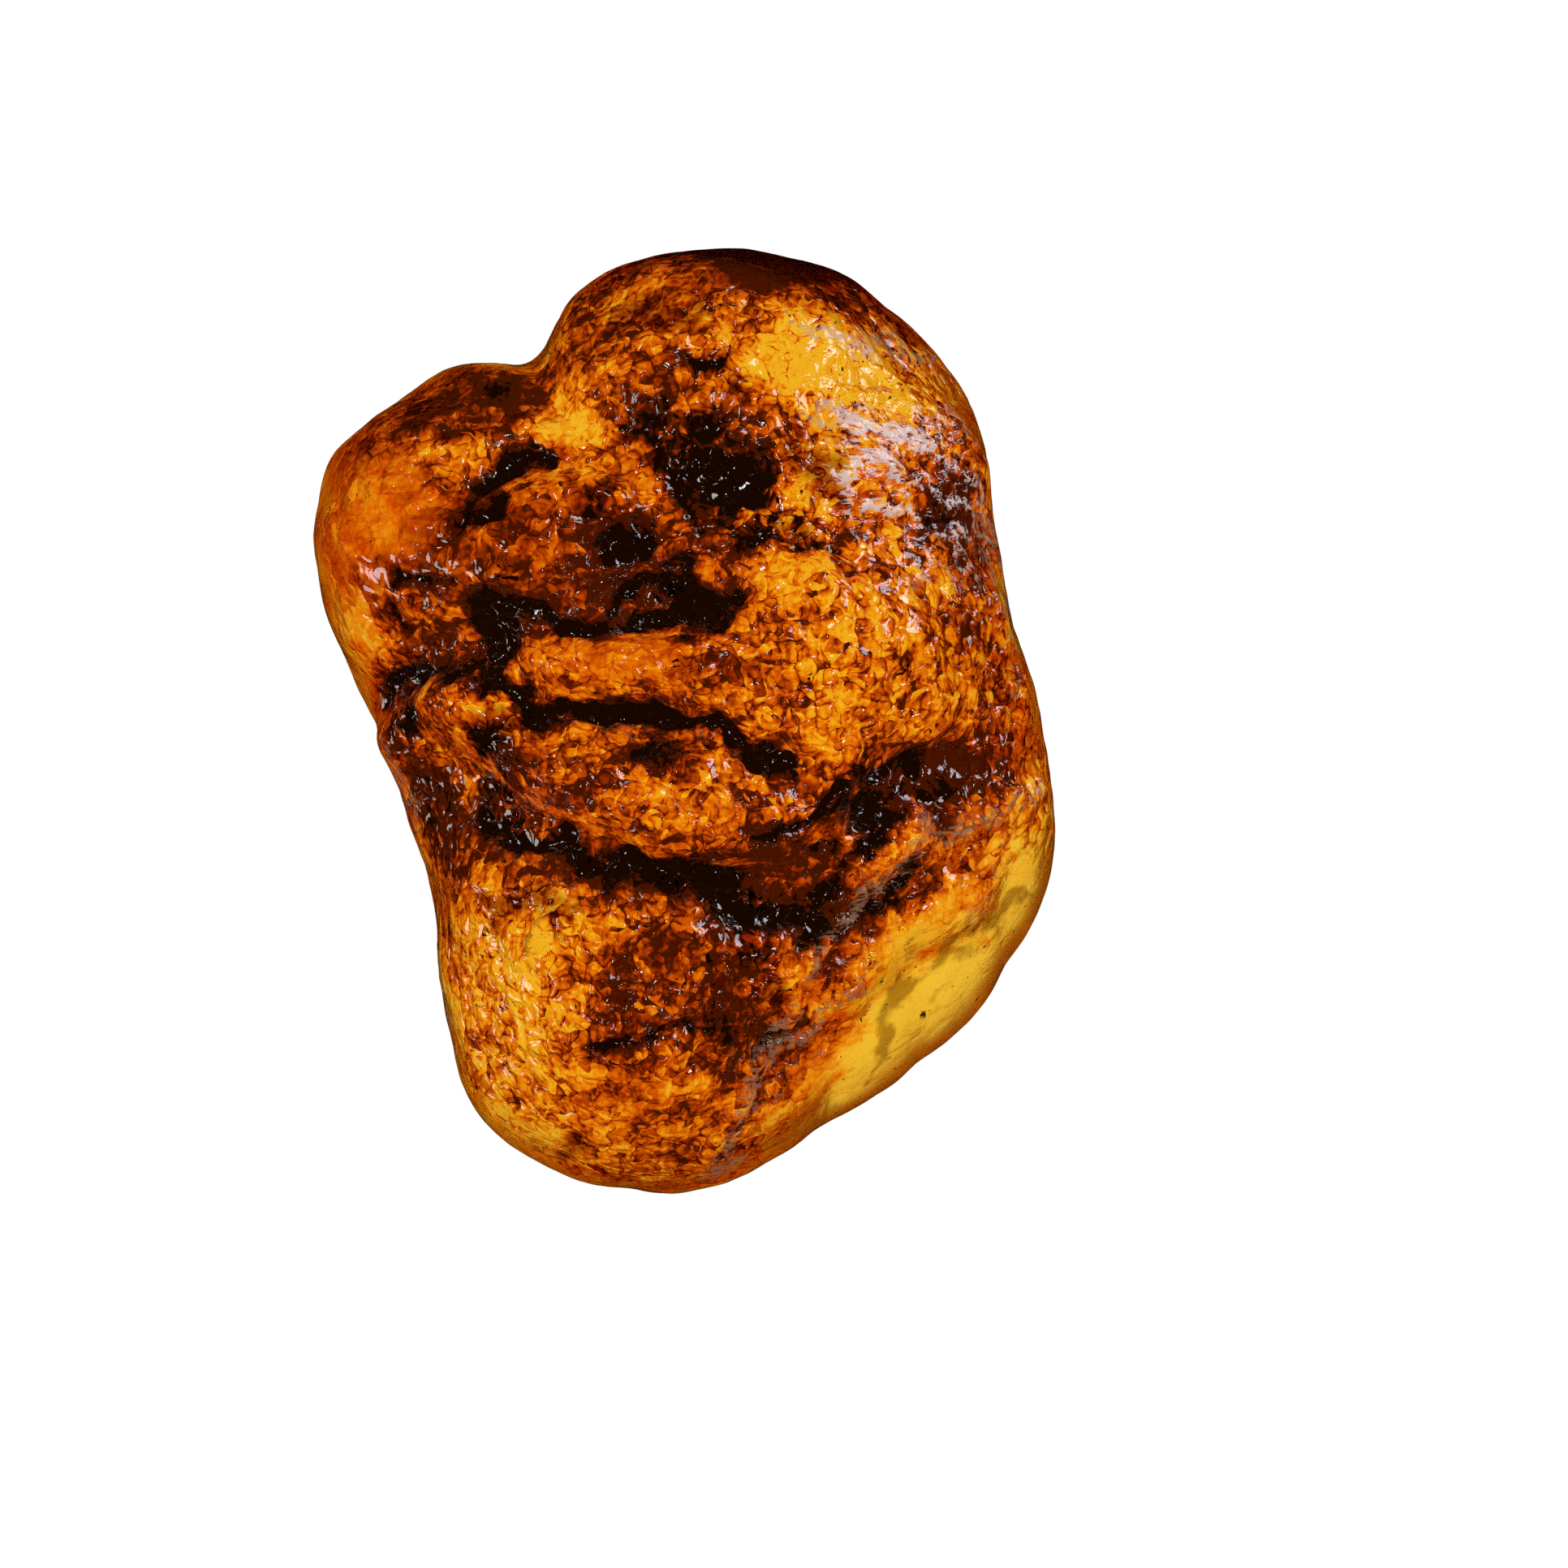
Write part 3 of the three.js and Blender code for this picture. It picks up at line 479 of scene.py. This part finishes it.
veil = alongLines(plan, stoneLook["skinAndSheenLines"], fall["skin"])
fold = stoneLook["folds"]
along = fold["along"][0] * points[:, 0] + fold["along"][1] * points[:, 1]
across = fold["across"][0] * points[:, 0] + fold["across"][1] * points[:, 1]
drawn = np.column_stack([along / fold["stretch"], across, points[:, 2] * fold["upright"]])
folds = 1 - np.abs(grainAt(drawn, fold["size"], fold["shift"])) * 2
raised = np.maximum(raised, fold["height"] * np.clip(folds, 0, 1) ** 3 * np.maximum(-streaky, 0))
raised = np.maximum(raised, stoneLook["skinHeight"] * veil)
char *= faceSide
cut *= faceSide
pitted *= faceSide
tone *= np.maximum(upward, clear)
free = smooth(points[:, 2], *stoneLook["flatZone"]) * (1 - stoneLook["polishCalm"] * polish)
kept = stoneLook["wallRelief"]
free *= kept + (1 - kept) * upward * smooth(normals[:, 2], *stoneLook["reliefLean"])

print("stone: relief")
addGroup(stone, "free", free)
addGroup(stone, "cut", cut * free)
addGroup(stone, "pitted", pitted * free)
addGroup(stone, "raised", raised * faceSide)


def addTexture(name, kind, size):
    texture = bpy.data.textures.new(name, type=kind)
    texture.noise_scale = size * mm
    return texture


def displace(piece, name, group, texture, height, middle):
    applyModifier(piece, "DISPLACE", name, texture=texture, texture_coords="LOCAL", vertex_group=group,
                  strength=height * mm, mid_level=middle)


for name, group, kind, size, height, middle in stoneLook["relief"]:
    displace(stone, name, group, addTexture(name, kind, size), height, middle)
displace(stone, "seamCut", "cut", None, -stoneLook["seamDepth"], 0.0)
displace(stone, "ridges", "raised", None, 1.0, 0.0)    # its group holds the heights in mm
pitSize, pitDepth = stoneLook["pits"]
displace(stone, "pits", "pitted", addTexture("pits", "VORONOI", pitSize), pitDepth, 1.0)

moved = readPoints(stone)
moved[:, 2] = np.maximum(moved[:, 2], 0.0)
depth = -np.einsum("ij,ij->i", moved - points, normals)
writePoints(stone, moved)
print("stone: hollows to", round(depth.max(), 2), "mm, knobs to", round(-depth.min(), 2), "mm")

zones = stone.data.color_attributes.new("zones", "FLOAT_COLOR", "POINT")
values = np.column_stack([np.clip(char, 0, 1), tone * 0.5 + 0.5, faceSide, clear])
zones.data.foreach_set("color", values.ravel())
grit = np.full(len(points), stoneLook["plainGrainAndShade"])
for middle, reach, turn, change in stoneLook["grit"]:
    grit += change * np.exp(-fall["area"] * patchShare(plan, middle, reach, turn) ** 2)
marks = {
    "grit": grit, "depth": depth, "streaks": streaky * faceSide, "polish": polish, "smoke": smoke * upward,
    "worn": smooth(-normals[:, 2], *stoneLook["wornLean"]),
    "veil": veil * smooth(points[:, 2], *stoneLook["veilZone"]),
}
for name, amounts in marks.items():
    stone.data.attributes.new(name, "FLOAT", "POINT").data.foreach_set("value", amounts)
pick(stone)
bpy.ops.object.shade_smooth()

amberLook = {
    "ior": 1.54,
    "roughness": 0.05,
    "wornRoughness": 0.26,              # of the weathered underside
    "absorption": (0.992, 0.85, 0.2),   # of the light that the density takes out
    "density": 100.0,
    "pale": (0.985, 0.8, 0.26),         # what the crust lets through, from clear to charred
    "gold": (0.94, 0.48, 0.07),
    "orange": (0.74, 0.2, 0.02),
    "red": (0.33, 0.05, 0.008),
    "brown": (0.07, 0.014, 0.003),
    "char": (0.01, 0.004, 0.002),
    "haze": (0.5, 0.41, 0.3),           # what the olive haze lets through
    "lowerSkinAndSheen": (0.23, 0.125, 0.06),   # dried skin along the folds, below and on the shoulder; both colours are partly a painted sheen
    "upperSkinAndSheen": (0.58, 0.46, 0.42),
    "skinRoughness": 0.3,
    "scale": {                          # features of each pattern per mm
        "sway": 1.1, "broad": 0.24, "middle": 0.6, "fine": 3.6, "veins": 0.9,
        "bigFlakes": 0.95, "smallFlakes": 2.1,
    },
    "drawn": {                          # turn in degrees, features per metre along and across
        "crest": (45, 240, 1500), "shoulder": (-42, 240, 1500), "bevel": (42, 160, 620),
        "crestThreads": (45, 360, 4200), "shoulderThreads": (-38, 360, 4200),
    },
}


def makeAmber():
    g = Graph("amber")
    look, scale, drawn = amberLook, amberLook["scale"], amberLook["drawn"]
    coords = g.node("ShaderNodeTexCoord")
    place = g.node("ShaderNodeMapping", {}, {
        "Vector": coords.outputs["Object"], "Scale": (1000, 1000, 1000)})    # from here on in mm
    p = place.outputs[0]

    def mark(name):
        return g.num("ShaderNodeAttribute", {"attribute_name": name}, {}, "Fac")

    zone = g.node("ShaderNodeAttribute", {"attribute_name": "zones"})
    parts = g.node("ShaderNodeSeparateColor", {}, {0: zone.outputs["Color"]})
    char, tone, face = Num(g, parts.outputs[0]), Num(g, parts.outputs[1]) * 2 - 1, Num(g, parts.outputs[2])
    clear = Num(g, zone.outputs["Alpha"])

    depth, grit, polish, streaks = mark("depth"), mark("grit"), mark("polish"), mark("streaks")
    smoke, veil, worn = mark("smoke"), mark("veil"), mark("worn")
    sway = g.node("ShaderNodeTexNoise", {}, {"Vector": p, "Scale": scale["sway"], "Detail": 0.0})
    bent = g.node("ShaderNodeVectorMath", {"operation": "MULTIPLY_ADD"},
                  {0: sway.outputs["Color"], 1: (0.8, 0.8, 0.8), 2: p}).outputs[0]
    broad = g.num("ShaderNodeTexNoise", {}, {"Vector": p, "Scale": scale["broad"], "Detail": 2.0})
    middle = g.num("ShaderNodeTexNoise", {}, {
        "Vector": p, "Scale": scale["middle"], "Detail": 3.0, "Roughness": 0.6})

    def flakeToneAndShade(size):
        cells = g.node("ShaderNodeTexVoronoi", {"feature": "F1"}, {"Vector": bent, "Scale": size})
        across = g.node("ShaderNodeVectorMath", {"operation": "SUBTRACT"},
                        {0: bent, 1: cells.outputs["Position"]})
        lean = g.node("ShaderNodeVectorMath", {"operation": "SUBTRACT"},
                      {0: cells.outputs["Color"], 1: (0.5, 0.5, 0.5)})
        # painted shade: each flake is shaded from one side to the other, as if it were a tilted facet
        # catching the light
        facetPaintedShade = g.num("ShaderNodeVectorMath", {"operation": "DOT_PRODUCT"},
                      {0: across.outputs[0], 1: lean.outputs[0]}, "Value")
        shade = g.num("ShaderNodeSeparateColor", {}, {0: cells.outputs["Color"]})
        return shade - 0.5, facetPaintedShade * size, Num(g, cells.outputs["Distance"])

    def drawnOut(turn, length, width):
        along = g.node("ShaderNodeMapping", {}, {
            "Vector": coords.outputs["Object"], "Rotation": (0, 0, math.radians(-turn)),
            "Scale": (length, width, width)})
        return g.num("ShaderNodeTexNoise", {}, {"Vector": along.outputs[0], "Scale": 1.0, "Detail": 3.0,
                                                "Roughness": 0.6, "Distortion": 0.4})

    fine = g.num("ShaderNodeTexNoise", {}, {"Vector": p, "Scale": scale["fine"], "Detail": 1.0})
    lower, upper = streaks.highest(0.0), (streaks * -1.0).highest(0.0)
    lines = (drawnOut(*drawn["crest"]) - 0.5) * lower + (drawnOut(*drawn["shoulder"]) - 0.5) * upper
    bigShade, bigFacetPaintedShade, bigAway = flakeToneAndShade(scale["bigFlakes"])
    smallShade, smallFacetPaintedShade, smallAway = flakeToneAndShade(scale["smallFlakes"])
    vein = g.num("ShaderNodeTexNoise", {}, {
        "Vector": p, "Scale": scale["veins"], "Detail": 1.0, "Distortion": 1.5})
    hair = abs(vein - 0.5).between(0.004, 0.02, 1.0, 0.0)
    border = g.num("ShaderNodeTexVoronoi", {"feature": "DISTANCE_TO_EDGE"}, {
        "Vector": bent, "Scale": scale["bigFlakes"]})
    crack = border.between(0.02, 0.07, 1.0, 0.0) * middle.between(0.42, 0.56)

    # random tone per flake, cracks and noise, mixed with painted shade: flakes shaded across as if tilted,
    # small flakes darker towards their rims, hollows of the relief painted darker and its knobs lighter
    grainAndShade = (bigShade * 0.4 + bigFacetPaintedShade * 0.8 + smallShade * 0.35 + smallFacetPaintedShade * 1.0
             + (smallAway - 0.4) * 0.35 + (fine - 0.5) * 0.7 + (middle - 0.5) * 1.0 + depth * 0.7
             + crack * 0.35 - 0.05)
    grainAndShade = grainAndShade * grit
    # how much crust there is: 0 is clear amber, 1 is charred; the painted shade of the grain adds to it
    warm = ((grainAndShade * (0.35 + 0.65 * face) + hair * 0.1) * (1 - 0.85 * clear)
            + (broad - 0.5) * (1 - 0.6 * clear) + tone * 0.9 + char * 0.7 + face * (0.56 - 0.34 * clear)
            + lines * 0.9 + (drawnOut(*drawn["bevel"]) - 0.5) * clear * 1.6)
    ramp = g.node("ShaderNodeValToRGB", {"stops": [
        (0.0, look["pale"]), (0.23, look["gold"]), (0.46, look["orange"]), (0.72, look["red"]),
        (0.95, look["brown"])]}, {0: warm})
    pepper = smallAway.between(0.12, 0.17, 1.0, 0.0) * (smallShade + char * 0.3).between(0.3, 0.32)
    body = g.blend(pepper * 0.95, ramp.outputs[0], look["char"])
    burnt = (char + grainAndShade * 0.8).between(0.5, 0.66) * char.between(0.03, 0.25)
    hazed = g.blend(1.0, body, look["haze"], "MULTIPLY")
    dulled = g.blend((smoke + (middle - 0.5) * 0.9).between(0.3, 0.7), body, hazed)
    crust = g.blend(burnt, dulled, look["char"])
    colour = g.blend(1.0, crust, crust, "MULTIPLY")

    calm = (0.3 + 0.7 * broad.between(0.4, 0.6)) * (0.05 + 0.95 * face) * (1.0 - polish)
    height = ((bigAway * bigAway * -0.5 + smallAway * smallAway * -0.06) * calm
              + lines * (0.22 - 0.15 * clear))
    bump = g.node("ShaderNodeBump", {}, {"Strength": 1.0, "Distance": 0.001, "Height": height})
    rough = worn * (look["wornRoughness"] - look["roughness"]) + look["roughness"]
    surface = g.node("ShaderNodeBsdfPrincipled", {}, {
        "Base Color": colour, "Roughness": rough, "IOR": look["ior"], "Transmission Weight": 1.0,
        "Normal": bump.outputs[0]})
    # dried skin along the folds, its pale grey-lilac colour partly a painted sheen: drawn-out threads, a
    # diffuse layer and its mix over the amber
    threads = ((drawnOut(*drawn["crestThreads"]) - 0.5) * lower
               + (drawnOut(*drawn["shoulderThreads"]) - 0.5) * upper
               + (fine - 0.5) * (1 - lower - upper) * 0.5)
    skinAndSheenLayer = g.node("ShaderNodeBsdfPrincipled", {}, {
        "Base Color": g.blend(upper, look["lowerSkinAndSheen"], look["upperSkinAndSheen"]),
        "Roughness": look["skinRoughness"], "Normal": bump.outputs[0]})
    surface = g.node("ShaderNodeMixShader", {}, {
        0: ((veil * 0.8 + threads * 3.2 + upper * 0.1).between(0.46, 0.88) * veil.between(0.05, 0.3)
            * (0.7 + 0.15 * upper)),
        1: surface.outputs[0], 2: skinAndSheenLayer.outputs[0]})
    inside = g.node("ShaderNodeVolumeAbsorption", {}, {
        "Color": (*look["absorption"], 1.0), "Density": look["density"]})
    g.node("ShaderNodeOutputMaterial", {}, {"Surface": surface.outputs[0], "Volume": inside.outputs[0]})
    return g.material


stone.data.materials.clear()
stone.data.materials.append(makeAmber())
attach(stone, "root")
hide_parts("amber_nugget")
print("stone: done")

# specks sealed in the amber: bits of bark and soil, joined into one piece

fleckLook = {
    "count": 110,
    "size": (0.1, 0.42),                # mm
    "reach": ((-17, 19), (-23, 24), (2.5, 21)),    # mm in x, y and z
    "margin": 0.9,                      # mm below the surface, at least and at most
    "deepest": 4.5,
    "colour": (0.012, 0.006, 0.003),
    "seed": 11,
}


def makeFlecks():
    draw = random.Random(fleckLook["seed"])
    depsgraph = bpy.context.evaluated_depsgraph_get()
    tree = BVHTree.FromObject(stone, depsgraph)
    made = []
    while len(made) < fleckLook["count"]:
        place = Vector([draw.uniform(*span) for span in fleckLook["reach"]]) * mm
        spot, normal, index, away = tree.find_nearest(place)
        inside = (spot - place).dot(normal) > 0
        if not inside or not fleckLook["margin"] * mm < away < fleckLook["deepest"] * mm:
            continue
        size = draw.uniform(*fleckLook["size"]) * mm
        clearSelection()
        bpy.ops.mesh.primitive_ico_sphere_add(subdivisions=1, radius=size, location=place, rotation=(
            draw.uniform(0, 6), draw.uniform(0, 6), draw.uniform(0, 6)))
        fleck = bpy.context.object
        fleck.scale = (1.0, draw.uniform(0.35, 0.9), draw.uniform(0.12, 0.5))
        for vertex in fleck.data.vertices:
            vertex.co *= draw.uniform(0.7, 1.25)
        made.append(fleck)
    clearSelection()
    for fleck in made:
        fleck.select_set(True)
    bpy.context.view_layer.objects.active = made[0]
    bpy.ops.object.join()
    bpy.ops.object.transform_apply(location=True, rotation=True, scale=True)
    piece = bpy.context.object
    piece.name = "sealedFlecks"
    return piece


flecks = makeFlecks()
g = Graph("bark")
bark = g.node("ShaderNodeBsdfPrincipled", {}, {"Base Color": (*fleckLook["colour"], 1.0), "Roughness": 0.6})
g.node("ShaderNodeOutputMaterial", {}, {"Surface": bark.outputs[0]})
flecks.data.materials.append(g.material)
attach(flecks, "root")
print("flecks:", len(flecks.data.polygons), "faces")

# table, lights and camera

tableLook = {"size": 1.4, "glow": 1.0, "drop": 0.1}

clearSelection()
bpy.ops.mesh.primitive_plane_add(size=tableLook["size"], location=(0, 0, -tableLook["drop"] * mm))
table = bpy.context.object
table.name = "table"
bpy.ops.object.transform_apply(location=True, rotation=True, scale=True)


def makeGlow(name, strength, colour):
    g = Graph(name)
    glow = g.node("ShaderNodeEmission", {}, {"Color": (*colour, 1.0), "Strength": strength})
    g.node("ShaderNodeOutputMaterial", {}, {"Surface": glow.outputs[0]})
    return g.material


table.data.materials.append(makeGlow("tableGlow", tableLook["glow"], (1, 1, 1)))
table.visible_glossy = False     # the white seen through the stone doesn't veil its gloss

lights = [   # name, place, size, radiance, colour
    ("windowLeft", (-0.12, 0.16, 0.34), 0.06, 20.0, (0.86, 0.92, 1.0)),
    ("windowRight", (0.30, 0.20, 0.14), 0.12, 9.0, (0.9, 0.88, 1.0)),
    ("windowFront", (0.22, -0.20, 0.26), 0.04, 18.0, (0.92, 0.9, 1.0)),
    ("stripLeft", (-0.30, -0.10, 0.03), 0.12, 6.0, (1.0, 0.95, 0.92)),
    ("stripRight", (0.26, 0.20, 0.03), 0.12, 6.0, (0.96, 0.94, 1.0)),
]


def addSoftLight(name, place, size, radiance, colour):
    clearSelection()
    bpy.ops.object.light_add(type="AREA", location=place)
    light = bpy.context.object
    light.name = name
    light.data.shape = "DISK"
    light.data.size = size
    light.data.energy = radiance * math.pi * math.pi * (size / 2) ** 2
    light.data.color = colour
    light.rotation_euler = (Vector((0, 0, 0.012)) - Vector(place)).to_track_quat("-Z", "Y").to_euler()
    light.visible_camera = False
    light.visible_transmission = False


for light in lights:
    addSoftLight(*light)

roomLook = {"colour": (1.0, 1.0, 1.0), "strength": 1.0}
room = bpy.data.worlds.new("room")
bpy.context.scene.world = room
room.use_nodes = True
room.node_tree.nodes["Background"].inputs["Color"].default_value = (*roomLook["colour"], 1.0)
room.node_tree.nodes["Background"].inputs["Strength"].default_value = roomLook["strength"]
room.cycles_visibility.glossy = False

cameraLook = {"lens": 120.0, "sensor": 36.0, "width": 82.6, "aim": (5.13, -3.29), "plane": 8.2}
reach = cameraLook["width"] / cameraLook["sensor"] * cameraLook["lens"]
clearSelection()
bpy.ops.object.camera_add(location=(cameraLook["aim"][0] * mm, cameraLook["aim"][1] * mm,
                                    (cameraLook["plane"] + reach) * mm), rotation=(0, 0, 0))
camera = bpy.context.object
camera.data.lens = cameraLook["lens"]
camera.data.sensor_width = cameraLook["sensor"]
camera.data.clip_start = 0.01
camera.data.clip_end = 5.0
bpy.context.scene.camera = camera

scene = bpy.context.scene
scene.view_settings.view_transform = "Standard"
scene.view_settings.look = "None"
scene.cycles.max_bounces = 16
scene.cycles.transmission_bounces = 14
scene.cycles.glossy_bounces = 4
scene.cycles.diffuse_bounces = 2
scene.cycles.use_denoising = False      # the finest grain and glints are kept
